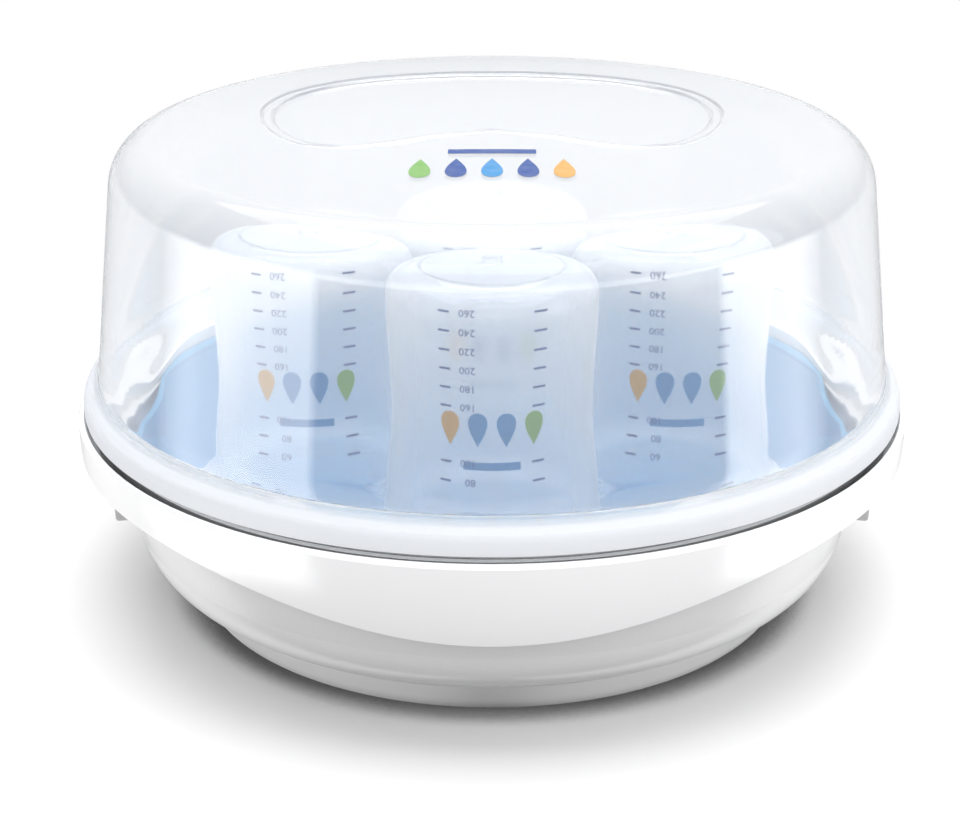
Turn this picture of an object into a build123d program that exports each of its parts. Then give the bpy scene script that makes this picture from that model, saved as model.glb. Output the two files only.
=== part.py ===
from build123d import *

import os
from math import cos, pi, radians, sin

# Microwave bottle sterilizer: a white water bowl with a cool outer skirt, a blue lift-out tray,
# a clear dome lid, and four feeding bottles standing mouth-down on the tray.
# Millimetres. +Z is up, the front faces -Y, and the origin is the centre of the foot ring.

os.makedirs("parts", exist_ok=True)

# ---------------------------------------------------------------- driving dimensions
SEAT_GAP = 0.02  # play where one loose piece rests on another
GLUE_GAP = 0.05  # play between fixed pieces of the base
CUT_REACH = 150.0  # cuts run past the outside of every piece

# water bowl
FOOT_R = 103.0
FOOT_INNER_R = 96.0
FOOT_RECESS = 2.0
FOOT_BEVEL = 1.5
FOOT_BAND_R = 110.8
FOOT_BAND_Z = 11.4
BAND_STEP = 0.8
BELLY_MID = (118.7, 17.6)  # on the round from the foot band out to the belly
BELLY_R = 123.4
BELLY_Z = 28.5
FLANK_MID = (127.4, 44.5)  # on the curve from the belly up to the neck
BOWL_NECK_R = 129.8
BOWL_WALL = 2.4
BOWL_FLOOR_R = 97.0
BOWL_FLOOR_Z = 4.2
INNER_BELLY_END = (109.4, 14.2)
INNER_BELLY_MID = (116.3, 19.2)
INNER_FLANK_MID = (124.6, 44.0)
BOWL_MOUTH_R = 127.6
LEDGE_R = 124.4
LEDGE_Z = 59.98
LEDGE_THICK = 2.2
LEDGE_ROOT = (126.0, 53.98)
RIM_Z = 66.2
RIM_R = 135.4
RIM_WALL = 2.2
RIM_LIP_Z = 57.5
RIM_RIBS = 24
RIM_RIB_WIDTH = 1.4
RIM_RIB_BITE = 0.6  # how far a rib sinks into the walls it joins

# outer skirt
SKIRT_TOP_R = 141.4
SKIRT_TOP_Z = 67.8
SKIRT_FRONT_R = 139.0
SKIRT_FRONT_Z = 41.0  # lower edge at the front and back
SKIRT_SIDE_Z = 56.0  # lower edge over the side grips
SKIRT_SWEEP_X = 121.0  # where the lower edge stops rising
SKIRT_WALL = 2.4
SKIRT_MID = (140.9, 53.0)
SKIRT_INNER_MID = (138.3, 51.0)
SKIRT_BEAD = 0.6  # bevel of the bead along its top
GUTTER_Z = 59.0
GUTTER_WALL = 1.8

# side grips
GRIP_R = 131.6
GRIP_TOP_R = 132.5
GRIP_GAP = 0.6  # clearance to the belly of the bowl
GRIP_ROUND = 1.2
GRIP_BOTTOM_Z = 29.0
GRIP_TOP_Z = 55.0
GRIP_ARC = 24.0
GRIP_WALL = 2.0

# tray
TRAY_RIM_R = 126.8
TRAY_RIM_Z = 62.0
TRAY_RIM_THICK = 2.0
TRAY_TOP_R = 124.2
TRAY_FLOOR_R = 105.5
TRAY_FLOOR_Z = 11.5
TRAY_WALL = 2.0
TRAY_CORNER = 7.0
NOTCH_R = 100.0  # finger notches in the tray's sides
NOTCH_X = 118.0  # how far the notch leaves the tray's side from the centre
COLLAR_R = 25.6
COLLAR_WALL = 1.6
COLLAR_HEIGHT = 7.0
PADS = 4
PAD_WIDTH = 4.0
PAD_REACH = 2.0
STEAM_HOLE_R = 7.0
STEAM_SLOT_WIDTH = 3.0
SEAT_SLOT_R = 15.5
SEAT_SLOT = 14.0
OUTER_SLOT_R = 90.0
OUTER_SLOT = 16.0
OUTER_SLOTS = 7
OUTER_SLOT_FAN = 72.0

# bottles
BOTTLE_SIDE_X = 61.5
BOTTLE_FRONT_Y = 36.5
MOUTH_Z = 15.5
NECK_R = 29.0
SHOULDER_R = 35.5
SHOULDER_Z = 44.0
WAIST_R = 33.0
WAIST_Z = 76.0
HEEL_R = 34.4
HEEL_Z = 115.8
BASE_FLAT_R = 26.8
BASE_Z = 123.4
BOTTLE_WALL = 1.6
NECK_Z = 36.5
DOME_Z = 125.6
NUB_R = 3.4
NUB_Z = 128.2
NUB_ROUND = 0.9
THREAD_BEADS = ((19.0, 1.2), (24.5, 1.2), (31.5, 1.6))  # height and bead radius
SHOULDER_BULGE = (-1.8, -4.6)  # from the body's widest point to the middle of the shoulder's round
HEEL_BULGE = (5.4, -2.2)  # from the edge of the base to the middle of the heel's round
BASE_GROOVE = (1.4, 2.2, 0.7)  # start, end and rise of the step round the base

# lid
LID_FOOT_R = 134.0
LID_FOOT_Z = 79.6
LID_TAPER = 0.118  # radius lost per millimetre of height
LID_TOP_Z = 166.5
LID_CROWN_R = 1000.0
LID_SHOULDER_R = 16.0
LID_WALL = 1.8
FLANGE_R = 139.2
FLANGE_Z = 75.0
FLANGE_LIP_Z = 69.6
FLANGE_WALL = 1.8
FLANGE_BEVEL = 0.4
LID_RIM_INNER_R = 131.4
LID_RIM_OUTER_R = 133.4
PAD_STEPS = ((0.0, 0.7), (4.0, 1.6))  # how far in and how deep each step of the recess is
PAD_Y = 10.0  # middle of the recess, front to back
PAD_HALF_WIDTH = 77.0
PAD_EDGE = [  # right half of its outline, front to back, seen from its middle
    (0, -37), (20, -44), (40, -54), (60, -48), (73, -24),
    (PAD_HALF_WIDTH, 2), (70, 28), (50, 46), (24, 53.5), (0, 55),
]
PAD_CUT_DEPTH = 20.0  # the cutter starts this far below the crown
SCOOP_R = 110.0  # tighter curve of the lid's side scoops
SCOOP_X = 22.0
SCOOP_Z = 92.0
SCOOP_FLARE = 0.106  # the scoop leans out and meets the wall again higher up
SCOOP_BELOW = 10.0  # the cutter's cone runs on below and above the scoop
SCOOP_ABOVE = 60.0
SCOOP_CUT_X = 62.0  # the cutter starts this far from the middle
SCOOP_EDGE = [(-66.0, 92.0), (-76.4, 113.0), (-84.0, 130.0), (-86.0, 135.0)]

BOTTLE_SPOTS = {
    "bottle_left": (-BOTTLE_SIDE_X, 0.0),
    "bottle_right": (BOTTLE_SIDE_X, 0.0),
    "bottle_front": (0.0, -BOTTLE_FRONT_Y),
    "bottle_back": (0.0, BOTTLE_FRONT_Y),
}


# ---------------------------------------------------------------- water bowl
with BuildPart() as water_bowl:
    with BuildSketch(Plane.XZ):
        with BuildLine():
            outside = Polyline(
                (0, FOOT_RECESS),
                (FOOT_INNER_R - FOOT_BEVEL, FOOT_RECESS),
                (FOOT_INNER_R, 0),
                (FOOT_R, 0),
                (FOOT_BAND_R, FOOT_BAND_Z),
                (FOOT_BAND_R + BAND_STEP, FOOT_BAND_Z + BAND_STEP),
            )
            belly = ThreePointArc(outside @ 1, BELLY_MID, (BELLY_R, BELLY_Z))
            flank = ThreePointArc(belly @ 1, FLANK_MID, (BOWL_NECK_R, RIM_Z - RIM_WALL))
            rim = Polyline(
                flank @ 1,
                (RIM_R - RIM_WALL, RIM_Z - RIM_WALL),
                (RIM_R - RIM_WALL, RIM_LIP_Z),
                (RIM_R, RIM_LIP_Z),
                (RIM_R, RIM_Z),
                (BOWL_MOUTH_R, RIM_Z),
                (BOWL_MOUTH_R, LEDGE_Z),
                (LEDGE_R, LEDGE_Z),
                (LEDGE_R, LEDGE_Z - LEDGE_THICK),
                LEDGE_ROOT,
            )
            inner_flank = ThreePointArc(rim @ 1, INNER_FLANK_MID, (BELLY_R - BOWL_WALL, BELLY_Z))
            inner_belly = ThreePointArc(inner_flank @ 1, INNER_BELLY_MID, INNER_BELLY_END)
            Polyline(
                inner_belly @ 1, (BOWL_FLOOR_R, BOWL_FLOOR_Z), (0, BOWL_FLOOR_Z), (0, FOOT_RECESS)
            )
        make_face()
    revolve(axis=Axis.Z)
    # stiffening ribs that hold the turned-down rim off the bowl wall
    rib_reach = RIM_R - RIM_WALL - BOWL_NECK_R
    with BuildSketch(Plane.XY.offset(RIM_LIP_Z + RIM_RIB_BITE)):
        with PolarLocations(BOWL_NECK_R + rib_reach / 2, RIM_RIBS):
            Rectangle(rib_reach + 2 * RIM_RIB_BITE, RIM_RIB_WIDTH)
    extrude(amount=RIM_Z - RIM_WALL - RIM_LIP_Z)
water_bowl.part.label = "water_bowl"

# ---------------------------------------------------------------- outer skirt
with BuildPart() as rim_skirt:
    with BuildSketch(Plane.XZ):
        with BuildLine():
            face_arc = ThreePointArc(
                (SKIRT_FRONT_R, SKIRT_FRONT_Z), SKIRT_MID, (SKIRT_TOP_R, SKIRT_TOP_Z - 2 * SKIRT_BEAD)
            )
            crown = Polyline(
                face_arc @ 1,
                (SKIRT_TOP_R - SKIRT_BEAD, SKIRT_TOP_Z),
                (SKIRT_TOP_R - SKIRT_WALL + SKIRT_BEAD, SKIRT_TOP_Z),
                (SKIRT_TOP_R - SKIRT_WALL, SKIRT_TOP_Z - SKIRT_BEAD),
                (SKIRT_TOP_R - SKIRT_WALL, GUTTER_Z),
                (RIM_R + GLUE_GAP, GUTTER_Z),
                (RIM_R + GLUE_GAP, GUTTER_Z - GUTTER_WALL),
                (SKIRT_TOP_R - SKIRT_WALL - SKIRT_BEAD, GUTTER_Z - GUTTER_WALL),
            )
            inside_arc = ThreePointArc(
                crown @ 1, SKIRT_INNER_MID, (SKIRT_FRONT_R - SKIRT_WALL, SKIRT_FRONT_Z)
            )
            Line(inside_arc @ 1, face_arc @ 0)
        make_face()
    revolve(axis=Axis.Z)
    # the lower edge rises from the front and back towards the side grips
    with BuildSketch(Plane.XZ):
        with BuildLine():
            right_sweep = Spline(
                (0, SKIRT_FRONT_Z), (SKIRT_SWEEP_X, SKIRT_SIDE_Z), tangents=[(1, 0), (1, 0)]
            )
            right_end = Polyline(
                right_sweep @ 1,
                (CUT_REACH, SKIRT_SIDE_Z),
                (CUT_REACH, 0),
                (-CUT_REACH, 0),
                (-CUT_REACH, SKIRT_SIDE_Z),
            )
            left_flat = Line(right_end @ 1, (-SKIRT_SWEEP_X, SKIRT_SIDE_Z))
            Spline(left_flat @ 1, (0, SKIRT_FRONT_Z), tangents=[(1, 0), (1, 0)])
        make_face()
    extrude(amount=CUT_REACH, both=True, mode=Mode.SUBTRACT)
rim_skirt.part.label = "rim_skirt"


# ---------------------------------------------------------------- side grips
def upright_plane(angle):
    """Plane through the Z axis whose own x axis points to the given angle."""
    turn = radians(angle)
    return Plane(origin=(0, 0, 0), x_dir=(cos(turn), sin(turn), 0), z_dir=(sin(turn), -cos(turn), 0))


with BuildPart() as side_grip_right:
    # a hollow lug closed by the bowl wall: first its outside, then the air space in it
    for wall, mode in ((0.0, Mode.ADD), (GRIP_WALL, Mode.SUBTRACT)):
        end_cut = wall * 180 / pi / GRIP_R  # the end walls' share of the arc
        with BuildSketch(upright_plane(end_cut - GRIP_ARC / 2)):
            with BuildLine():
                inner = Line(
                    (BELLY_R + GRIP_GAP - wall, GRIP_BOTTOM_Z + wall),
                    (BOWL_NECK_R + GLUE_GAP - wall, GRIP_TOP_Z - wall),
                )
                Polyline(
                    inner @ 1,
                    (GRIP_TOP_R - wall, GRIP_TOP_Z - wall),
                    (GRIP_R - wall, GRIP_BOTTOM_Z + wall),
                    inner @ 0,
                )
            make_face()
        revolve(axis=Axis.Z, revolution_arc=GRIP_ARC - 2 * end_cut, mode=mode)
    bottom_face = side_grip_right.faces().sort_by(Axis.Z)[0]
    outer_edges = bottom_face.edges().filter_by(lambda e: e.center().X > GRIP_R - GRIP_WALL)
    fillet(outer_edges, GRIP_ROUND)
side_grip_right.part.label = "side_grip_right"

with BuildPart() as side_grip_left:
    mirror(side_grip_right.part, about=Plane.YZ)
side_grip_left.part.label = "side_grip_left"

# ---------------------------------------------------------------- tray
with BuildPart() as tray:
    with BuildSketch(Plane.XZ):
        with BuildLine():
            Polyline(
                (0, TRAY_FLOOR_Z),
                (TRAY_FLOOR_R, TRAY_FLOOR_Z),
                (TRAY_TOP_R, TRAY_RIM_Z - TRAY_RIM_THICK),
                (TRAY_TOP_R, TRAY_RIM_Z),
                (0, TRAY_RIM_Z),
                close=True,
            )
        outline = make_face()
        floor_corner = outline.vertices().sort_by_distance((TRAY_FLOOR_R, 0, TRAY_FLOOR_Z))[0]
        fillet(floor_corner, TRAY_CORNER)
    revolve(axis=Axis.Z)
    for side in (-1, 1):
        with BuildSketch(Plane.XY):
            with Locations((side * (NOTCH_X + NOTCH_R), 0)):
                Circle(NOTCH_R)
        extrude(amount=TRAY_RIM_Z, mode=Mode.SUBTRACT)
    # hollow it from above, keeping one wall thickness all round
    offset(amount=-TRAY_WALL, openings=tray.faces().sort_by(Axis.Z)[-1])
    # the rim flange that hangs on the bowl's ledge, cut back at the finger notches
    with BuildSketch(Plane.XY.offset(TRAY_RIM_Z - TRAY_RIM_THICK)):
        Circle(TRAY_RIM_R)
        with Locations((NOTCH_X + NOTCH_R, 0), (-NOTCH_X - NOTCH_R, 0)):
            Circle(NOTCH_R, mode=Mode.SUBTRACT)
        Circle(TRAY_TOP_R - TRAY_WALL, mode=Mode.SUBTRACT)
    extrude(amount=TRAY_RIM_THICK)
    # a collar and four pads centre each bottle's mouth, with a steam hole inside the collar
    floor_top = TRAY_FLOOR_Z + TRAY_WALL
    for spot in BOTTLE_SPOTS.values():
        with BuildSketch(Plane.XY.offset(floor_top)):
            with Locations(spot):
                Circle(COLLAR_R)
                Circle(COLLAR_R - COLLAR_WALL, mode=Mode.SUBTRACT)
        extrude(amount=COLLAR_HEIGHT)
        with BuildSketch(Plane.XY.offset(floor_top)):
            with Locations(spot):
                with PolarLocations((COLLAR_R + NECK_R + PAD_REACH) / 2, PADS, start_angle=45):
                    Rectangle(NECK_R + PAD_REACH - COLLAR_R + COLLAR_WALL / 2, PAD_WIDTH)
        extrude(amount=MOUTH_Z - floor_top)
        with BuildSketch(Plane.XY.offset(TRAY_FLOOR_Z)):
            with Locations(spot):
                Circle(STEAM_HOLE_R)
                with PolarLocations(SEAT_SLOT_R, PADS):
                    SlotOverall(SEAT_SLOT, STEAM_SLOT_WIDTH, rotation=90)
        extrude(amount=TRAY_WALL, mode=Mode.SUBTRACT)
    # radial steam slots round the outside of the floor, between the bottles
    with BuildSketch(Plane.XY.offset(TRAY_FLOOR_Z)):
        for middle in (-90, 90):
            with PolarLocations(
                OUTER_SLOT_R, OUTER_SLOTS, start_angle=middle - OUTER_SLOT_FAN / 2,
                angular_range=OUTER_SLOT_FAN, endpoint=True,
            ):
                SlotOverall(OUTER_SLOT, STEAM_SLOT_WIDTH)
    extrude(amount=TRAY_WALL, mode=Mode.SUBTRACT)
tray.part.label = "tray"

# ---------------------------------------------------------------- bottles
def bottle_form(inset):
    """Solid filling the bottle's outer surface, pulled in by the inset, without its nub."""
    with BuildPart() as solid:
        with BuildSketch(Plane.XZ):
            with BuildLine():
                neck = Polyline(
                    (0, MOUTH_Z + SEAT_GAP), (NECK_R - inset, MOUTH_Z + SEAT_GAP), (NECK_R - inset, NECK_Z)
                )
                shoulder = ThreePointArc(
                    neck @ 1,
                    (SHOULDER_R - inset + SHOULDER_BULGE[0], SHOULDER_Z + SHOULDER_BULGE[1]),
                    (SHOULDER_R - inset, SHOULDER_Z),
                )
                body = Spline(
                    shoulder @ 1,
                    (WAIST_R - inset, WAIST_Z),
                    (HEEL_R - inset, HEEL_Z),
                    tangents=[(0, 1), (0, 1)],
                )
                heel = ThreePointArc(
                    body @ 1,
                    (BASE_FLAT_R - inset + HEEL_BULGE[0], BASE_Z - inset + HEEL_BULGE[1]),
                    (BASE_FLAT_R, BASE_Z - inset),
                )
                groove_start, groove_end, groove_rise = BASE_GROOVE
                step = Polyline(
                    heel @ 1,
                    (BASE_FLAT_R - groove_start, BASE_Z - inset),
                    (BASE_FLAT_R - groove_end, BASE_Z - inset + groove_rise),
                )
                # a shallow dome whose centre lies on the bottle's axis
                dome_arc = TangentArc((0, DOME_Z - inset), step @ 1, tangent=(1, 0))
                Line(dome_arc @ 0, neck @ 0)
            make_face()
        revolve(axis=Axis.Z)
    return solid.part


with BuildPart() as bottle:
    add(bottle_form(0))
    add(bottle_form(BOTTLE_WALL), mode=Mode.SUBTRACT)
    # the nub in the middle of the base
    with BuildSketch(Plane.XY.offset(DOME_Z - BOTTLE_WALL / 2)):
        Circle(NUB_R)
    extrude(amount=NUB_Z - DOME_Z + BOTTLE_WALL / 2)
    fillet(bottle.edges().group_by(Axis.Z)[-1], NUB_ROUND)
    # screw thread beads and the stop ring on the neck
    with BuildSketch(Plane.XZ):
        for z, bead in THREAD_BEADS:
            with Locations((NECK_R, z)):
                Circle(bead)
    revolve(axis=Axis.Z)

bottles = {}
for name, spot in BOTTLE_SPOTS.items():
    with BuildPart() as placed:
        with Locations((*spot, 0)):
            add(bottle.part)
    placed.part.label = name
    bottles[name] = placed.part

# ---------------------------------------------------------------- lid
def dome(inset):
    """Solid filling the lid's outer surface, pulled in by the inset."""
    foot_r = LID_FOOT_R - inset
    top_z = LID_TOP_Z - inset
    wall_height = top_z - LID_FOOT_Z
    with BuildPart() as solid:
        with Locations((0, 0, LID_FOOT_Z)):
            Cone(
                foot_r,
                foot_r - LID_TAPER * wall_height,
                wall_height,
                align=(Align.CENTER, Align.CENTER, Align.MIN),
            )
        # the crown's poles lie sideways, clear of the lid
        with Locations((0, 0, top_z - LID_CROWN_R)):
            Sphere(LID_CROWN_R, rotation=(90, 0, 0), mode=Mode.INTERSECT)
        fillet(solid.edges().group_by(Axis.Z)[-1], LID_SHOULDER_R - inset)
    return solid.part


def crown_pad(inset):
    """Material above the kidney-shaped recess, a step and then the recess itself."""
    with BuildPart() as cut:
        for shrink, depth in PAD_STEPS:
            grow = (PAD_HALF_WIDTH + inset - shrink) / PAD_HALF_WIDTH
            with BuildSketch(Plane((0, PAD_Y, LID_TOP_Z - PAD_CUT_DEPTH))):
                with BuildLine():
                    Spline([(x * grow, y * grow) for x, y in PAD_EDGE], tangents=[(1, 0), (-1, 0)])
                    mirror(about=Plane.YZ)
                make_face()
            extrude(amount=2 * PAD_CUT_DEPTH)
            add(dome(inset + depth), mode=Mode.SUBTRACT)
    return cut.part


def side_scoops(inset):
    """Material outside the tighter curve of the lid's two sides, above the ledge."""
    with BuildPart() as cut:
        with BuildSketch(Plane.YZ.offset(SCOOP_CUT_X)):
            with BuildLine():
                front = [(y - inset, z - inset) for y, z in SCOOP_EDGE]
                back = [(-y, z) for y, z in reversed(front)]
                Polyline(front + back, close=True)
            make_face()
        extrude(amount=CUT_REACH - SCOOP_CUT_X)
        with Locations((SCOOP_X, 0, SCOOP_Z - SCOOP_BELOW)):
            Cone(
                SCOOP_R - inset - SCOOP_BELOW * SCOOP_FLARE,
                SCOOP_R - inset + SCOOP_ABOVE * SCOOP_FLARE,
                SCOOP_BELOW + SCOOP_ABOVE,
                align=(Align.CENTER, Align.CENTER, Align.MIN),
                mode=Mode.SUBTRACT,
            )
        mirror(about=Plane.YZ)
    return cut.part


with BuildPart() as lid_cavity:
    add(dome(LID_WALL))
    add(crown_pad(LID_WALL), mode=Mode.SUBTRACT)
    add(side_scoops(LID_WALL), mode=Mode.SUBTRACT)

with BuildPart() as lid:
    add(dome(0))
    add(crown_pad(0), mode=Mode.SUBTRACT)
    add(side_scoops(0), mode=Mode.SUBTRACT)
    add(lid_cavity.part, mode=Mode.SUBTRACT)
    # the rim that stands inside the base, and the flange and lip that cover the joint
    with BuildSketch(Plane.XZ):
        with BuildLine():
            Polyline(
                (LID_RIM_INNER_R, RIM_Z + SEAT_GAP),
                (LID_RIM_OUTER_R, RIM_Z + SEAT_GAP),
                (LID_RIM_OUTER_R, FLANGE_Z + FLANGE_BEVEL),
                (FLANGE_R - FLANGE_WALL - FLANGE_BEVEL, FLANGE_Z - FLANGE_WALL),
                (FLANGE_R - FLANGE_WALL, FLANGE_LIP_Z),
                (FLANGE_R, FLANGE_LIP_Z),
                (FLANGE_R, FLANGE_Z - FLANGE_BEVEL),
                (FLANGE_R - FLANGE_BEVEL, FLANGE_Z),
                (LID_FOOT_R + FLANGE_BEVEL, LID_FOOT_Z - FLANGE_BEVEL),
                (LID_FOOT_R, LID_FOOT_Z + FLANGE_BEVEL),
                (LID_FOOT_R - LID_WALL + SEAT_GAP, LID_FOOT_Z + FLANGE_BEVEL),
                close=True,
            )
        make_face()
    revolve(axis=Axis.Z)
lid.part.label = "lid"

for piece in (water_bowl, rim_skirt, side_grip_left, side_grip_right, tray, lid):
    export_step(piece.part, f"parts/{piece.part.label}.step")
for name, piece in bottles.items():
    export_step(piece, f"parts/{name}.step")
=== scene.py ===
from math import atan, cos, hypot, pi, radians, sin, sqrt

import bpy
import numpy as np
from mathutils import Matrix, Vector


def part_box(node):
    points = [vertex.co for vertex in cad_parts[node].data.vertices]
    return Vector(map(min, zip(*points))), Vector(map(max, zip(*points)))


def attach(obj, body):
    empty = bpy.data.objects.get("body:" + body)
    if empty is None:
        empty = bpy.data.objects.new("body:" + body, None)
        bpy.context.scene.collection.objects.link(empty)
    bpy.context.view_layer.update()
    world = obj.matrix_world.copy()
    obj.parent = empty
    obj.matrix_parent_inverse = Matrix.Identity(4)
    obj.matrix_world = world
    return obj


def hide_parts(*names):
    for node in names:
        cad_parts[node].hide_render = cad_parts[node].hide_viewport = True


# The looks of the bottle sterilizer. Sizes are in millimetres until a mesh is made, and places come
# from the CAD frame: +Z is up and the front faces -Y.

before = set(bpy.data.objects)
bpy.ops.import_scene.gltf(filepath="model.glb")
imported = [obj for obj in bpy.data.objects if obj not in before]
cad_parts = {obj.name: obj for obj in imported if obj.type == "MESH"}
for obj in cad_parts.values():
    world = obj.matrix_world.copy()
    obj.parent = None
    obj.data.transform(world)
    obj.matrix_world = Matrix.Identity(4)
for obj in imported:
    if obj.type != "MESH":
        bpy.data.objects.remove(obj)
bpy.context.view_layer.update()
scene = bpy.context.scene
MM = 0.001
LID_COLUMNS, BOTTLE_COLUMNS = 576, 160  # points round a turned mesh


def box_mm(node):
    low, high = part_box(node)
    return low / MM, high / MM


# ---------------------------------------------------------------- mesh helpers
CORNER_STEPS = 4  # edges that a rounded corner is made of
CORNER_SHARE = 0.45  # a corner takes no more of an edge, which leaves room for the next one


def rounded(points):
    """Closed outline through (x, z, corner size) points, with each corner turned into a curve."""
    outline = []
    for i, (x, z, r) in enumerate(points):
        here = np.array([x, z])
        before = np.array(points[i - 1][:2]) - here
        after = np.array(points[(i + 1) % len(points)][:2]) - here
        reach = [np.linalg.norm(before), np.linalg.norm(after)]
        r = min(r, CORNER_SHARE * min(reach))
        if r <= 0:
            outline.append((x, z))
            continue
        p, q = here + before / reach[0] * r, here + after / reach[1] * r
        for t in np.linspace(0, 1, CORNER_STEPS + 1):
            outline.append(tuple((1 - t) ** 2 * p + 2 * t * (1 - t) * here + t * t * q))
    return outline


def build(name, rows):
    """Smooth mesh from rows of (x, y, z) points in millimetres; a row of one point is a pole."""
    rows = [np.asarray(row, float).reshape(-1, 3) * MM for row in rows]
    vertices, starts = [], []
    for row in rows:
        starts.append(len(vertices))
        vertices.extend(row)

    def corner(row, i):
        return starts[row] + (i if len(rows[row]) > 1 else 0)

    faces = []
    for a, b in zip(range(len(rows) - 1), range(1, len(rows))):
        n = max(len(rows[a]), len(rows[b]))
        for i in range(n):
            j = (i + 1) % n
            quad = (corner(a, i), corner(b, i), corner(b, j), corner(a, j))
            faces.append(tuple(dict.fromkeys(quad)))  # a pole's quad becomes a triangle
    mesh = bpy.data.meshes.new(name)
    mesh.from_pydata([tuple(v) for v in vertices], [], faces)
    mesh.validate()
    mesh.shade_smooth()
    piece = bpy.data.objects.new(name, mesh)
    scene.collection.objects.link(piece)
    return piece


def circle(count):
    """Unit (x, y) directions round a full turn, and their angles."""
    angles = np.arange(count) * 2 * pi / count
    return np.column_stack([np.cos(angles), np.sin(angles)]), angles


def level(flat, z):
    """Row of a mesh: flat (x, y) points, all at one height."""
    return np.column_stack([flat, np.full(len(flat), z)])


def weighted(piece):
    """Flat faces stay flat next to small rounded edges."""
    modifier = piece.modifiers.new("weighted", "WEIGHTED_NORMAL")
    modifier.weight = 100
    modifier.keep_sharp = True


def smoothstep(t):
    """0 to 1 with soft ends, as t goes from 0 to 1."""
    t = np.clip(t, 0, 1)
    return t * t * (3 - 2 * t)


# ---------------------------------------------------------------- material helpers
class Nodes:
    """Node tree of a new material or world, with short calls to add and join nodes."""

    def __init__(self, name, kind="Material"):
        blocks = {"Material": bpy.data.materials, "World": bpy.data.worlds}
        self.owner = blocks[kind].new(name)
        self.owner.use_nodes = True
        self.tree = self.owner.node_tree
        self.tree.nodes.clear()
        self.output = self.add("ShaderNodeOutput" + kind)

    def add(self, kind, **settings):
        node = self.tree.nodes.new(kind)
        for key, value in settings.items():
            setattr(node, key, value)
        return node

    def join(self, value, socket):
        """Join another node's output to the socket, or set the socket to a plain value."""
        if hasattr(value, "is_output"):
            self.tree.links.new(value, socket)
        else:
            socket.default_value = value

    def set(self, node, **inputs):
        for key, value in inputs.items():
            self.join(value, node.inputs[key.replace("_", " ")])
        return node

    def math(self, operation, *values):
        node = self.add("ShaderNodeMath", operation=operation)
        for value, socket in zip(values, node.inputs):
            self.join(value, socket)
        return node.outputs[0]

    def noise(self, scale, detail=3.0, stretch=None):
        """Noise with this many blobs to a metre, about 0.3 to 0.7 in value."""
        coords = self.place()
        if stretch:
            mapping = self.set(self.add("ShaderNodeMapping"), Vector=coords, Scale=stretch)
            coords = mapping.outputs["Vector"]
        node = self.add("ShaderNodeTexNoise")
        self.set(node, Vector=coords, Scale=scale, Detail=detail)
        return node.outputs["Fac"]

    def range(self, value, low, high, from_low=0.3, from_high=0.7):
        """low to high, as the value goes from from_low to from_high."""
        node = self.add("ShaderNodeMapRange")
        self.set(node, Value=value, From_Min=from_low, From_Max=from_high, To_Min=low, To_Max=high)
        return node.outputs["Result"]

    def blend_values(self, factor, a, b):
        node = self.add("ShaderNodeMix", data_type="FLOAT")
        for value, socket in zip((factor, a, b), (node.inputs[0], node.inputs[2], node.inputs[3])):
            self.join(value, socket)
        return node.outputs[0]

    def colours(self, factor, a, b, blend="MIX"):
        """Blend of two colours, each an output or a plain (red, green, blue)."""
        node = self.add("ShaderNodeMix", data_type="RGBA", blend_type=blend)
        for value, socket in zip((factor, a, b), (node.inputs[0], node.inputs[6], node.inputs[7])):
            self.join((*value, 1) if isinstance(value, tuple) else value, socket)
        return node.outputs[2]

    def covered(self, reach, darkest, full, closed_at, open_from, samples=8):
        """Painted shade: full in the open, down to darkest where faces within reach (in
        millimetres) cover it.
        """
        cover = self.add("ShaderNodeAmbientOcclusion", samples=samples)
        self.set(cover, Distance=reach * MM)
        return self.range(cover.outputs["AO"], darkest, full, closed_at, open_from)

    def shaded(self, colour, reach, darkest=0.04, closed_at=0.05, open_from=0.45):
        """The colour with painted shade, darker where it is covered."""
        share = self.covered(reach, darkest, 1.0, closed_at, open_from)
        return self.colours(1.0, colour, share, "MULTIPLY")

    def bump(self, height, strength, distance):
        """Normals tilted as if the face rose by up to the distance, in millimetres."""
        node = self.add("ShaderNodeBump")
        self.set(node, Height=height, Strength=strength, Distance=distance * MM)
        return node.outputs["Normal"]

    def mix(self, factor, a, b):
        node = self.add("ShaderNodeMixShader")
        for value, socket in zip((factor, a, b), node.inputs):
            self.join(value, socket)
        return node.outputs[0]

    def place(self):
        """Where the shaded point is in its object, in metres."""
        return self.add("ShaderNodeTexCoord").outputs["Object"]

    def axes(self, vector):
        """The x, y and z of a vector."""
        split = self.add("ShaderNodeSeparateXYZ")
        self.join(vector, split.inputs[0])
        return split.outputs

    def finish(self, shader):
        self.join(shader, self.output.inputs["Surface"])
        return self.owner


BLUE_GLOW, BLUE_CLEAR = 0.4, 0.3  # shares of the tray's face that glow and that are see-through
MILK_GLOW = 0.35  # share of a milky face that glows with the light behind it
# Thick parts of the lid: milky share, the height under which it is full, and where it has gone.
FLANGE = (0.7, 77.6, 80.0)
LIP = (0.93, 75.4, 76.6)
# Under these heights the lid's milky colour has painted shade where other faces cover it, which
# draws the line of the joint.
POCKET_SHADE_Z, POCKET_SHADE_REACH = (69.6, 71.6), 9.0


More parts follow.
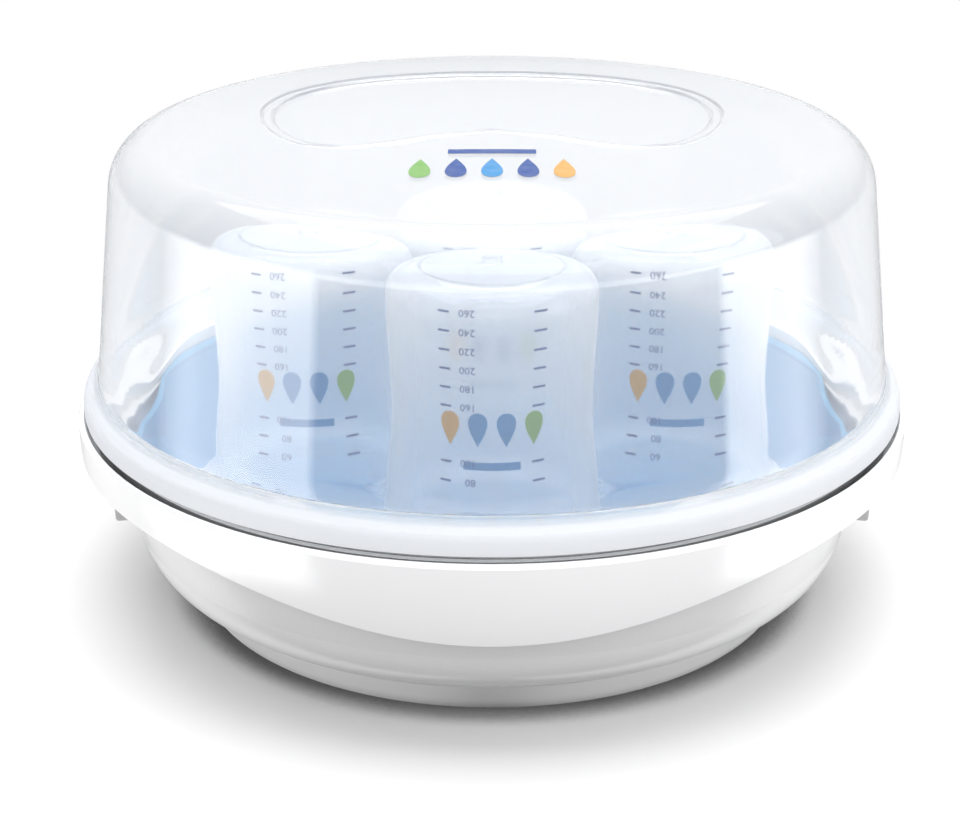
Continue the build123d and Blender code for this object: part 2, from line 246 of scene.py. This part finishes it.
def white_plastic():
    """Glossy white polypropylene, with crisp painted shade in its grooves and a soft painted shade
    under the skirt.
    """
    n = Nodes("white_polypropylene")
    cloud = n.noise(22.0, 2.0)
    grain = n.noise(1500.0, 2.0)
    base = n.colours(cloud, (0.9, 0.9, 0.91), (0.92, 0.92, 0.93))
    # Painted shade: darker in grooves, from faces within 9 mm, and softly darker under the skirt,
    # from faces within 80 mm.
    groove_shaded = n.shaded(base, 9.0)
    shader = n.set(
        n.add("ShaderNodeBsdfPrincipled"),
        Base_Color=n.shaded(groove_shaded, 80.0, darkest=0.68, closed_at=0.3, open_from=0.8),
        Roughness=n.range(n.noise(140.0, 4.0), 0.17, 0.2),
        Normal=n.bump(grain, 0.06, 0.05),
        IOR=1.5,
    )
    return n.finish(shader.outputs[0])


def blue_plastic():
    """Blue polypropylene, thin enough to glow and to let some light through."""
    n = Nodes("blue_polypropylene")
    cloud = n.noise(30.0, 2.0)
    grain = n.noise(1300.0, 2.0)
    colour = n.colours(cloud, (0.06, 0.47, 0.76), (0.09, 0.52, 0.82))
    normal = n.bump(grain, 0.08, 0.05)
    shader = n.set(
        n.add("ShaderNodeBsdfPrincipled"),
        Base_Color=colour, Roughness=n.range(n.noise(70.0, 4.0), 0.26, 0.36), Normal=normal,
    )
    glow = n.set(n.add("ShaderNodeBsdfTranslucent"), Color=colour, Normal=normal)
    clear = n.set(n.add("ShaderNodeBsdfTransparent"), Color=(0.25, 0.7, 0.92, 1))
    body = n.mix(BLUE_GLOW, shader.outputs[0], glow.outputs[0])
    return n.finish(n.mix(BLUE_CLEAR, body, clear.outputs[0]))


def clear_plastic(
    name, tint, edge, edge_falloff, haze, edge_haze, haze_falloff, roughness, thick=(),
):
    """Clear polypropylene: refracts for what is looked at, and lets light through to the rest.

    As the face turns away its colour goes from tint to edge, and its milky share goes up from haze
    by edge_haze: the higher the falloff, the later. thick lists parts such as FLANGE and LIP.
    """
    n = Nodes(name)
    grain = n.noise(900.0, 2.0)
    flow = n.noise(16.0, 2.0, stretch=(1, 1, 0.4))
    normal = n.bump(flow, 0.05, 0.4)
    facing = n.set(n.add("ShaderNodeLayerWeight"), Blend=0.5).outputs["Facing"]
    depth = n.colours(n.math("POWER", facing, edge_falloff), tint, edge)
    glass = n.set(
        n.add("ShaderNodeBsdfPrincipled"),
        Base_Color=depth, Roughness=n.range(grain, roughness * 0.6, roughness * 1.4),
        IOR=1.46, Transmission_Weight=1.0, Normal=normal,
    )
    pale = n.add("ShaderNodeRGB").outputs[0]
    pale.default_value = (0.975, 0.978, 0.985, 1)
    share = n.math("MULTIPLY_ADD", n.math("POWER", facing, haze_falloff), edge_haze, haze)
    if thick:
        height = n.axes(n.place())["Z"]
        for milky, full_below, none_above in thick:
            moulding = n.range(height, milky, 0.0, full_below * MM, none_above * MM)
            share = n.math("MAXIMUM", share, moulding)
        # Painted shade: the milky colour low on the lid darkens where other faces cover it.
        pocket_shade = n.range(height, 1.0, 0.0, *(z * MM for z in POCKET_SHADE_Z))
        pale = n.colours(pocket_shade, pale, n.shaded(pale, POCKET_SHADE_REACH))
    milk = n.set(n.add("ShaderNodeBsdfDiffuse"), Color=pale)
    glow = n.set(n.add("ShaderNodeBsdfTranslucent"), Color=pale)
    cloudy = n.mix(MILK_GLOW, milk.outputs[0], glow.outputs[0])
    seen = n.mix(share, glass.outputs[0], cloudy)
    path = n.add("ShaderNodeLightPath")
    passing = n.math("MAXIMUM", path.outputs["Is Shadow Ray"], path.outputs["Is Diffuse Ray"])
    through = n.set(n.add("ShaderNodeBsdfTransparent"), Color=(0.97, 0.98, 0.99, 1))
    return n.finish(n.mix(passing, seen, through.outputs[0]))


def print_ink(name, colour):
    """Ink with a little unevenness in its colour and its gloss."""
    n = Nodes(name)
    shader = n.set(
        n.add("ShaderNodeBsdfPrincipled"),
        Base_Color=n.colours(n.noise(400.0, 3.0), colour, tuple(c * 0.85 for c in colour)),
        Roughness=n.range(n.noise(300.0), 0.3, 0.5),
    )
    return n.finish(shader.outputs[0])


WHITE = white_plastic()
BLUE = blue_plastic()
CLEAR_LID = clear_plastic(
    "clear_lid", tint=(0.993, 0.995, 1.0), edge=(0.5, 0.52, 0.55), edge_falloff=8.0,
    haze=0.1, edge_haze=0.2, haze_falloff=4.0, roughness=0.04, thick=(FLANGE, LIP),
)
CLEAR_BOTTLE = clear_plastic(
    "clear_bottle", tint=(0.985, 0.99, 1.0), edge=(0.9, 0.92, 0.95), edge_falloff=5.0,
    haze=0.2, edge_haze=0.75, haze_falloff=2.6, roughness=0.16,
)
INK = print_ink("blue_ink", (0.005, 0.05, 0.24))
INK_BRIGHT = print_ink("light_blue_ink", (0.02, 0.22, 0.5))
INK_GREEN = print_ink("green_ink", (0.16, 0.36, 0.08))
INK_ORANGE = print_ink("orange_ink", (0.62, 0.32, 0.07))


def paint(piece, material):
    piece.data.materials.clear()
    piece.data.materials.append(material)


def stand_in(piece, node, material):
    """The piece takes the place of a node's CAD mesh, and moves with it."""
    paint(piece, material)
    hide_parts(node)
    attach(piece, node)


for node in ("water_bowl", "rim_skirt", "side_grip_left", "side_grip_right"):
    paint(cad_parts[node], WHITE)
paint(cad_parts["tray"], BLUE)


# ---------------------------------------------------------------- lid
lid_low, lid_high = box_mm("lid")
LIP_R = lid_high.x
FOOT_R, FOOT_Z = LIP_R - 5.2, lid_low.z + 13.4  # corner where the wall meets the flange
TAPER = 0.118  # the wall comes in by this much for each millimetre up
CROWN_R = 1000.0  # the crown is a very shallow dome
CROWN_Z = lid_high.z + 0.36  # the crown's own apex, above the recess
SHOULDER_R = 16.0
LID_WALL = 1.8

RECESS_Y = 10.0  # middle of the kidney-shaped recess in the crown
# Right half of the recess's outline, from front to back round that middle.
RECESS_EDGE = (
    (0, -37), (20, -44), (40, -54), (60, -48), (73, -24),
    (77, 2), (70, 28), (50, 46), (24, 53.5), (0, 55),
)
RECESS_SPREAD = 9  # degrees either way over which the outline is smoothed
RECESS_DEPTH = 1.6
RECESS_FLAT = 6.0  # its floor ends this far inside the outline
FLAT_SHARES = np.linspace(0.12, 0.9, 9)  # rows of the floor, from its middle out
# Rows from there up to the crown: how far inside the outline, and how deep.
RECESS_SIDE = (
    (6.0, 1.6), (4.6, 1.6), (4.2, 1.5), (3.8, 1.0), (3.4, 0.75), (3.0, 0.7),
    (0.9, 0.7), (0.5, 0.6), (0.1, 0.25), (-0.3, 0.03), (-0.8, 0.0),
)
CROWN_SHARES = (0.1, 0.25, 0.45, 0.65, 0.85)  # rows from the recess out to the rounding
ROUNDING_ROWS, WALL_ROWS = 15, 26

# A scoop is a wider circle that cuts into each side of the wall above a ledge.
SCOOP_X, SCOOP_R, SCOOP_FLARE = 22.0, 110.0, 0.106  # its middle, its radius at the ledge, its slope
SCOOP_Z = 92.0  # the ledge
SCOOP_EDGE = ((66.0, 92.0), (76.4, 113.0), (84.0, 130.0), (86.0, 135.0))  # (half width, height)
SCOOP_SOFT = 22.0  # width over which a scoop's sides fade into the wall
SCOOP_RISE = 20.0  # height over which it fades in above the ledge
LEDGE_ROWS = (0.9, 0.4, -0.1, -0.7)  # rows close to the ledge, above and below
LOW_WALL_Z = 86.0

turn, columns = circle(LID_COLUMNS)


def wrap(angles):
    """The same angles, from -pi to pi."""
    return (angles + pi) % (2 * pi) - pi


def kidney(angles):
    """Radius of the recess's outline round its own middle, smooth and the same left and right."""
    angle = [float(np.arctan2(y, x)) for x, y in RECESS_EDGE]
    radius = [hypot(x, y) for x, y in RECESS_EDGE]
    known = np.array(angle[:-1] + [pi - a for a in reversed(angle)][:-1])
    sizes = np.array(radius[:-1] + list(reversed(radius))[:-1])
    wrapped = np.concatenate([known - 2 * pi, known, known + 2 * pi])
    values = np.tile(sizes, 3)
    fine = np.interp(angles, wrapped, values)
    spread = np.radians(np.linspace(-RECESS_SPREAD, RECESS_SPREAD, 2 * RECESS_SPREAD + 1))
    smooth = np.mean([np.interp(wrap(angles + s), wrapped, values) for s in spread], 0)
    return smooth * 0.5 + fine * 0.5


def crown_height(x, y, top):
    """Height of the domed crown whose apex is at top."""
    return top - CROWN_R + np.sqrt(CROWN_R**2 - x * x - y * y)


def shoulder(inset):
    """Centre and radius of the rounding from crown to wall, and the angles where it meets them."""
    radius = SHOULDER_R - inset
    top = CROWN_Z - inset
    cz = top - radius
    for _ in range(20):  # settles well before this many turns
        cx = FOOT_R - inset - TAPER * (cz - FOOT_Z) - radius * sqrt(1 + TAPER**2)
        cz = top - CROWN_R + sqrt((CROWN_R - radius) ** 2 - cx * cx)
    meets_wall = atan(TAPER)
    meets_crown = float(np.arctan2(cz - top + CROWN_R, cx))
    return cx, cz, radius, meets_wall, meets_crown


def lid_skin(inset):
    """Rows of one face of the lid, from the middle of the crown down to the foot of the wall."""
    top = CROWN_Z - inset
    cx, cz, radius, meets_wall, meets_crown = shoulder(inset)
    outline = kidney(wrap(columns))
    rings = [(share * (outline - RECESS_FLAT), RECESS_DEPTH) for share in FLAT_SHARES]
    rings += [(outline - back, depth) for back, depth in RECESS_SIDE]
    skin = [[(0, RECESS_Y, crown_height(0, RECESS_Y, top) - RECESS_DEPTH)]]
    for reach, depth in rings:
        x, y = reach * turn[:, 0], RECESS_Y + reach * turn[:, 1]
        skin.append(np.column_stack([x, y, crown_height(x, y, top) - depth]))
    edge_r = cx + radius * cos(meets_crown)
    inner = (outline - RECESS_SIDE[-1][0])[:, None] * turn + (0, RECESS_Y)
    for share in CROWN_SHARES:
        flat = inner * (1 - share) + edge_r * turn * share
        skin.append(np.column_stack([flat, crown_height(flat[:, 0], flat[:, 1], top)]))
    for angle in np.linspace(meets_crown, meets_wall, ROUNDING_ROWS):
        r, z = cx + radius * cos(angle), cz + radius * sin(angle)
        skin.append(level(scooped(r, z, inset)[:, None] * turn, z))
    heights = list(np.linspace(z, SCOOP_Z + 1.4 - inset, WALL_ROWS))[1:]
    heights += [SCOOP_Z + step - inset for step in LEDGE_ROWS] + [LOW_WALL_Z, FOOT_Z + 1.2]
    for z in heights:
        r = FOOT_R - inset - TAPER * (z - FOOT_Z)
        skin.append(level(scooped(r, z, inset)[:, None] * turn, z))
    return skin


def scooped(r, z, inset):
    """Radius of the lid round its wall at a height, drawn in where the side scoops are."""
    side = np.abs(turn[:, 0])
    across = turn[:, 1]
    size = SCOOP_R - inset + SCOOP_FLARE * (z + inset - SCOOP_Z)
    scoop = SCOOP_X * side + np.sqrt(size**2 - (SCOOP_X * across) ** 2)
    widths, heights = zip(*SCOOP_EDGE)
    edge = np.interp(z + inset, heights, widths)
    sides = smoothstep((edge - np.abs(r * across)) / SCOOP_SOFT + 0.5)
    above = smoothstep((z + inset - SCOOP_Z + 0.4) / SCOOP_RISE)
    return r - np.maximum(r - scoop, 0) * sides * above


def lid_rim():
    """Rows of the flange, the lip over the joint and the rim that stands on the bowl."""
    low = lid_low.z
    outline = rounded([
        (FOOT_R, FOOT_Z + 0.4, 0.6),
        (LIP_R - 0.9, FOOT_Z - 4.0, 1.4),
        (LIP_R, FOOT_Z - 5.8, 1.2),
        (LIP_R, low + 3.4, 0.5),
        (LIP_R - 1.8, low + 3.4, 0.5),
        (LIP_R - 2.2, FOOT_Z - 6.4, 1.0),
        (LIP_R - 5.4, FOOT_Z - 3.4, 0.8),
        (LIP_R - 5.8, low + 0.02, 0.4),
        (LIP_R - 7.8, low + 0.02, 0.4),
        (FOOT_R - LID_WALL, FOOT_Z + 0.4, 1.0),
    ])
    return [level(r * turn, z) for r, z in outline]


lid = build("lid_shell", lid_skin(0.0) + lid_rim() + lid_skin(LID_WALL)[::-1])
weighted(lid)
stand_in(lid, "lid", CLEAR_LID)


# ---------------------------------------------------------------- bottles
BOTTLES = ("bottle_left", "bottle_right", "bottle_front", "bottle_back")
BOTTLE_WALL = 1.6
# Radii, then heights, from the neck up to the base: the bottles stand mouth-down.
NECK_R, BODY_R, WAIST_R, HEEL_R, BASE_R = 29.0, 35.5, 33.0, 34.4, 26.8
NECK_TOP, BODY_Z, WAIST_Z, HEEL_Z, BASE_Z = 36.5, 44.0, 76.0, 115.8, 123.4
RIM_Z = 124.0  # raised ring round the base, with a dome and a moulding nub inside it
DOME_Z, NUB_R = 125.6, 3.4
THREADS = ((19.0, 1.2), (24.5, 1.2), (31.5, 1.6))  # (height, size) of the beads on the neck
BODY_ROWS, NECK_ROWS = 26, 60


def body_radius(z):
    """Radius of the waisted body between shoulder and heel."""
    if z < WAIST_Z:
        share = (z - BODY_Z) / (WAIST_Z - BODY_Z)
        return BODY_R + (WAIST_R - BODY_R) * (1 - cos(pi * share)) / 2
    share = (z - WAIST_Z) / (HEEL_Z - WAIST_Z)
    return WAIST_R + (HEEL_R - WAIST_R) * (1 - cos(pi * share)) / 2


def bottle_profile(mouth_z, top_z):
    """(radius, height) points from the middle of the base, down outside and back up inside."""
    outside = rounded([
        (0, top_z, 0),
        (NUB_R, top_z, 1.2),
        (NUB_R, DOME_Z - 0.1, 0.6),
        (BASE_R - 3.4, RIM_Z + 0.3, 1.0),
        (0, 120, 0),  # closes the outline, and is left out
    ])[:-1]
    outside += [(BASE_R - 2.2, RIM_Z), (BASE_R - 1.5, RIM_Z - 0.5), (BASE_R - 0.5, BASE_Z)]
    for a in np.radians(np.linspace(74, 4, 9)):
        out, rise = cos(a) ** 0.9, sin(a)
        r = BASE_R - 1.0 + (HEEL_R - BASE_R + 1.0) * out
        outside.append((r, HEEL_Z - 1.0 + (BASE_Z - HEEL_Z + 0.6) * rise))
    body = np.linspace(HEEL_Z - 2, BODY_Z, BODY_ROWS)
    outside += [(body_radius(z), z) for z in body]
    shoulder = [
        ((BODY_R - NECK_R) * cos(share * pi / 2) ** 0.8, (BODY_Z - NECK_TOP) * share)
        for share in np.linspace(0.15, 1, 7)
    ]
    outside += [(NECK_R + out, BODY_Z - down) for out, down in shoulder]
    for z in np.linspace(NECK_TOP - 0.6, mouth_z + 0.8, NECK_ROWS):
        r = NECK_R
        for bead_z, bead in THREADS:
            if abs(z - bead_z) < bead:
                r = max(r, NECK_R + sqrt(bead**2 - (z - bead_z) ** 2) * 0.95)
        outside.append((r, z))
    bore_r = NECK_R - BOTTLE_WALL
    lip = [(NECK_R - 0.2, mouth_z + 0.2), (NECK_R - 0.8, mouth_z), (bore_r, mouth_z + 0.4)]
    inside = [(bore_r, z) for z in np.linspace(mouth_z + 2, NECK_TOP - 0.5, 6)]
    inside += [(bore_r + out, BODY_Z + 0.4 - down) for out, down in reversed(shoulder)]
    inside += [(body_radius(z) - BOTTLE_WALL, z) for z in reversed(body)]
    for a in np.radians(np.linspace(4, 80, 8)):
        r = BASE_R - 2.2 + (HEEL_R - BASE_R + 0.6) * cos(a)
        inside.append((r, HEEL_Z - 2.0 + (BASE_Z - HEEL_Z + 0.2) * sin(a)))
    inside += [(BASE_R - 6, BASE_Z - 1.2), (BASE_R * 0.5, DOME_Z - 1.9), (0, DOME_Z - BOTTLE_WALL)]
    return outside + lip + inside


def make_bottle(node):
    low, high = box_mm(node)
    middle = ((low.x + high.x) / 2, (low.y + high.y) / 2)
    round_it, _ = circle(BOTTLE_COLUMNS)
    rows = [
        level(middle + r * round_it, z) if r else [(*middle, z)]
        for r, z in bottle_profile(low.z, high.z)
    ]
    stand_in(build(node + "_shell", rows), node, CLEAR_BOTTLE)


for node in BOTTLES:
    make_bottle(node)


# ---------------------------------------------------------------- printing
def flat_text(words, size):
    """Points and triangles of a line of text, level with its middle, in millimetres."""
    curve = bpy.data.curves.new("words", "FONT")
    curve.body = words
    curve.size = size
    curve.align_x = "LEFT"
    curve.align_y = "CENTER"
    curve.resolution_u = 3
    holder = bpy.data.objects.new("words", curve)
    scene.collection.objects.link(holder)
    bpy.context.view_layer.update()
    depsgraph = bpy.context.evaluated_depsgraph_get()
    mesh = bpy.data.meshes.new_from_object(holder.evaluated_get(depsgraph))
    points = np.array([v.co[:2] for v in mesh.vertices], float)
    faces = [tuple(p.vertices) for p in mesh.polygons]
    bpy.data.objects.remove(holder)
    bpy.data.meshes.remove(mesh)
    return points, faces


def dash(width, height):
    """Bar that starts at 0 across, cut into steps so that it can bend round a bottle."""
    steps = 6
    xs = np.linspace(0, width, steps)
    points = [(x, y) for y in (-height / 2, height / 2) for x in xs]
    return points, [(i, i + 1, i + 1 + steps, i + steps) for i in range(steps - 1)]


def drop(height, width):
    """Filled droplet, point up, centred."""
    count = 40
    turns = np.linspace(0, 2 * pi, count, endpoint=False)
    xs = width / 2 * np.sin(turns) * np.sin(turns / 2) ** 1.3
    ys = height / 2 * np.cos(turns)
    points = [(0, -height * 0.15), *zip(xs, ys)]
    return points, [(0, 1 + (i + 1) % count, 1 + i) for i in range(count)]


INK_LIFT, INK_THICK = 0.08, 0.05  # the ink's height over the face, and its thickness


class Print:
    """Flat marks stamped onto a curved face, and made into one piece of ink."""

    def __init__(self, place):
        self.place = place  # turns flat (across, up) millimetres into a point on the face
        self.vertices, self.faces = [], []

    def stamp(self, shape, across=0.0, up=0.0):
        points, polygons = shape
        base = len(self.vertices)
        self.vertices += [tuple(np.array(self.place(across + x, up + y)) * MM) for x, y in points]
        self.faces += [tuple(base + i for i in polygon) for polygon in polygons]

    def make(self, name, body, material):
        mesh = bpy.data.meshes.new(name)
        mesh.from_pydata(self.vertices, [], self.faces)
        piece = bpy.data.objects.new(name, mesh)
        scene.collection.objects.link(piece)
        paint(piece, material)
        thick = piece.modifiers.new("ink", "SOLIDIFY")
        thick.thickness = INK_THICK * MM
        thick.offset = 0.0
        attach(piece, body)


GRADUATION_STEP = 6.3  # millimetres of height for 20 ml
FIRST_MARK_Z = 56.0
MARKS = range(60, 261, 20)
LEFT_DASH, RIGHT_DASH, NUMBER = (-17.0, 4.2), (13.0, 3.6), (5.0, 3.4)  # (place across, size)
DASH_THICK = 0.7
ROW_Z, BAR_Z = 80.0, 67.8  # heights of a bottle's row of droplets and of the bar under it
ROW_CLEAR = 7.0  # no graduation comes closer to the middle of the row than this
# Sizes of the marks: (height, width) of a droplet, then (width, height) of a bar.
BOTTLE_DROP, BOTTLE_BAR = (11.5, 8.4), (18.0, 2.6)
LID_DROP, LID_BAR = (17.0, 9.0), (27.0, 4.0)
LID_MARK_Y = -66.0
LID_ROW, LID_BAR_UP = -2.0, 13.5  # behind LID_MARK_Y


def print_row(node, place, up, size, row):
    """Droplets side by side, each a piece of its own, for a row of (place across, ink)."""
    for letter, (across, ink) in zip("abcde", row):
        badge = Print(place)
        badge.stamp(drop(*size), across, up)
        badge.make(f"{node}_droplet_{letter}", node, ink)


def print_bottle(node):
    """Millilitre scale, a row of droplets and a bar, upside down with the bottle."""
    low, high = box_mm(node)
    x, y = (low.x + high.x) / 2, (low.y + high.y) / 2

    def place(across, up):
        z = FIRST_MARK_Z - up
        r = body_radius(z) + INK_LIFT
        a = -across / WAIST_R - pi / 2
        return x + r * cos(a), y + r * sin(a), z

    marks = Print(place)
    for i, amount in enumerate(MARKS):
        up = -GRADUATION_STEP * i
        if abs(FIRST_MARK_Z - up - ROW_Z) < ROW_CLEAR:
            continue
        marks.stamp(dash(RIGHT_DASH[1], DASH_THICK), RIGHT_DASH[0], up)
        marks.stamp(flat_text(str(amount), NUMBER[1]), NUMBER[0], up)
        marks.stamp(dash(LEFT_DASH[1], DASH_THICK), LEFT_DASH[0], up)
    marks.make(node + "_graduations", node, INK)
    row = ((-13.5, INK_GREEN), (-4.5, INK_BRIGHT), (4.5, INK_BRIGHT), (13.5, INK_ORANGE))
    print_row(node, place, FIRST_MARK_Z - ROW_Z, BOTTLE_DROP, row)
    bar = Print(place)
    bar.stamp(dash(*BOTTLE_BAR), -BOTTLE_BAR[0] / 2, FIRST_MARK_Z - BAR_Z)
    bar.make(node + "_bar", node, INK_BRIGHT)


def print_lid():
    """A row of droplets under a bar, near the front of the crown."""

    def place(across, up):
        y = LID_MARK_Y + up
        return across, y, crown_height(across, y, CROWN_Z) + INK_LIFT

    row = ((-21.6, INK_GREEN), (-10.8, INK), (0.0, INK_BRIGHT), (10.8, INK), (21.6, INK_ORANGE))
    print_row("lid", place, LID_ROW, LID_DROP, row)
    bar = Print(place)
    bar.stamp(dash(*LID_BAR), -LID_BAR[0] / 2, LID_BAR_UP)
    bar.make("lid_bar", "lid", INK)


for node in BOTTLES:
    print_bottle(node)
print_lid()


# ---------------------------------------------------------------- floor, light and camera
# The floor takes the lamps' shadows and a painted contact shadow near the object, and further out
# is as white as the background.
FLOOR_REACH = 12.0  # metres from the middle to each side
FLOOR_PALE, FLOOR_CONTACT_SHADOW = 0.98, 0.18  # how pale it is in the open, and how dark its painted shadow gets where it is covered
CONTACT_REACH = 26.0  # millimetres within which the painted shadow looks for cover
CONTACT_CLOSED, CONTACT_OPEN = 0.25, 0.4  # shares of open sky at which the painted shadow is darkest and palest
FLOOR_BOUNCE = 0.45  # how pale it is for the light that it sends back up
FLOOR_NEAR, FLOOR_FAR = 0.13, 0.36  # metres from the middle between which it turns white
THROUGH_LIGHT = 0.74  # what is white behind the object is this bright through its clear plastic


def make_floor():
    mesh = bpy.data.meshes.new("floor")
    square = ((-1, -1), (1, -1), (1, 1), (-1, 1))
    mesh.from_pydata([(FLOOR_REACH * x, FLOOR_REACH * y, 0) for x, y in square], [], [(0, 1, 2, 3)])
    floor = bpy.data.objects.new("floor", mesh)
    scene.collection.objects.link(floor)
    n = Nodes("pale_floor")
    # Painted contact shadow: the floor's colour darkens where the object covers it.
    pale = n.covered(
        CONTACT_REACH, FLOOR_CONTACT_SHADOW, FLOOR_PALE, CONTACT_CLOSED, CONTACT_OPEN, samples=16,
    )
    path = n.add("ShaderNodeLightPath")
    bounced = n.blend_values(path.outputs["Is Diffuse Ray"], pale, FLOOR_BOUNCE)
    near = n.set(n.add("ShaderNodeBsdfDiffuse"), Color=bounced)
    bright = n.blend_values(path.outputs["Is Transmission Ray"], 1.0, THROUGH_LIGHT)
    far = n.set(n.add("ShaderNodeEmission"), Strength=bright)
    distance = n.set(n.add("ShaderNodeVectorMath", operation="LENGTH"), Vector=n.place())
    share = n.range(distance.outputs["Value"], 0.0, 1.0, FLOOR_NEAR, FLOOR_FAR)
    floor.data.materials.append(n.finish(n.mix(share, near.outputs[0], far.outputs[0])))
    floor.visible_glossy = False


LIGHTS = (  # name, place and aim in metres, width, height, watts
    ("overhead", (0, 0.1, 0.9), (0, 0, 0), 1.1, 1.1, 9.5),
    ("left", (-1.1, -0.55, 0.6), (0, 0, 0.08), 0.8, 0.8, 1.0),
    ("right", (1.15, -0.35, 0.6), (0, 0, 0.08), 0.7, 0.8, 3.4),
    ("front", (0, -1.2, 0.75), (0, 0, 0.06), 1.4, 0.5, 4.0),
)


def area_light(name, place, aim, width, height, power):
    data = bpy.data.lights.new(name, "AREA")
    data.shape = "RECTANGLE"
    data.size, data.size_y = width, height
    data.energy = power
    light = bpy.data.objects.new(name, data)
    light.location = place
    light.visible_glossy = False
    light.rotation_euler = (Vector(aim) - Vector(place)).to_track_quat("-Z", "Y").to_euler()
    scene.collection.objects.link(light)


# What reflections show. Round the horizon is a dim window to the front, with a bright card on each
# side of it that ends in a soft back; over them all is the top. Angles are degrees round from the
# front, and heights are the sine of the elevation. A place where one zone becomes the next is given
# by the value where it starts and the value where it ends.
WINDOW_MIDDLE = 8.5  # the photo's cards aren't even: its window is turned a little to the right
WINDOW_SIDE = (57.0, 60.0)  # from the window's middle to the cards
CARD_BACK = (94.0, 108.0)
CARD_BOTTOM = (-0.6, -0.5)
TOP_EDGE = (-0.06, 0.04)
SIDE_LIGHT, WINDOW_LIGHT = 9.5, 1.0
BACK_LIGHT, BACK_FADE = (2.6, 0.8), (121.0, 161.0)  # dims towards straight behind
TOP_LIGHT, TOP_FADE = (1.0, 2.4), (0.0, 0.95)  # and brightens towards straight above
# The upper part of the window is veiled, with a brighter line along the veil's lower edge.
VEIL_EDGE, VEIL_LIGHT = (-0.091, -0.075), 3.2
LINE_FADE, LINE_LIGHT = (-0.075, -0.043), 7.0
AMBIENT_LIGHT, AMBIENT_FADE = (0.42, 0.7), (0.0, 0.6)  # soft light, more of it from above
CAMERA_LIGHT = 1.25  # makes white of the background's own light grey


def make_world():
    """White behind the object, soft light all round, and the cards that only reflections show."""
    n = Nodes("studio", "World")
    x, y, z = n.axes(n.add("ShaderNodeTexCoord").outputs["Generated"])
    azimuth = n.math("MULTIPLY", n.math("ARCTAN2", x, n.math("MULTIPLY", y, -1.0)), 180 / pi)
    off_middle = n.math("ABSOLUTE", n.math("SUBTRACT", azimuth, WINDOW_MIDDLE))
    beside = n.range(off_middle, 0.0, 1.0, *WINDOW_SIDE)
    off_front = n.math("ABSOLUTE", azimuth)
    behind = n.range(off_front, 0.0, 1.0, *CARD_BACK)
    back_light = n.range(off_front, *BACK_LIGHT, *BACK_FADE)
    top_light = n.range(z, *TOP_LIGHT, *TOP_FADE)
    above = n.range(z, 0.0, 1.0, *TOP_EDGE)
    card = n.math("MULTIPLY", beside, n.range(z, 0.0, 1.0, *CARD_BOTTOM))
    veil = n.range(z, 0.0, 1.0, *VEIL_EDGE)
    line = n.math("SUBTRACT", veil, n.range(z, 0.0, 1.0, *LINE_FADE))
    veiled = n.blend_values(line, n.blend_values(veil, WINDOW_LIGHT, VEIL_LIGHT), LINE_LIGHT)
    round_it = n.blend_values(behind, n.blend_values(card, veiled, SIDE_LIGHT), back_light)
    reflected = n.blend_values(above, round_it, top_light)
    ambient = n.range(z, *AMBIENT_LIGHT, *AMBIENT_FADE)
    path = n.add("ShaderNodeLightPath")
    behind_it = n.blend_values(path.outputs["Is Transmission Ray"], ambient, THROUGH_LIGHT)
    plain = n.blend_values(path.outputs["Is Camera Ray"], behind_it, CAMERA_LIGHT)
    strength = n.blend_values(path.outputs["Is Glossy Ray"], plain, reflected)
    background = n.set(n.add("ShaderNodeBackground"), Strength=strength)
    scene.world = n.finish(background.outputs[0])


# The camera is fitted to the circles of the lid, the rim and the foot as the photo shows them.
CAMERA_DISTANCE, CAMERA_ELEVATION = 0.7, 21.81  # metres, degrees
CAMERA_AIM = (0, 0, 0.05866)
LENS, SENSOR, SHIFT_X = 75.07, 36.0, -0.01256


def make_camera():
    elevation = radians(CAMERA_ELEVATION)
    data = bpy.data.cameras.new("camera")
    data.lens, data.sensor_width = LENS, SENSOR
    data.shift_x = SHIFT_X
    data.clip_start, data.clip_end = 0.05, 50
    camera = bpy.data.objects.new("camera", data)
    back = Vector((0, -cos(elevation), sin(elevation)))
    camera.location = Vector(CAMERA_AIM) + back * CAMERA_DISTANCE
    camera.rotation_euler = (pi / 2 - elevation, 0, 0)
    scene.collection.objects.link(camera)
    scene.camera = camera


make_floor()
make_world()
for light in LIGHTS:
    area_light(*light)
make_camera()
scene.view_settings.view_transform = "Standard"
scene.cycles.max_bounces = 14
scene.cycles.transmission_bounces = 14
scene.cycles.transparent_max_bounces = 32
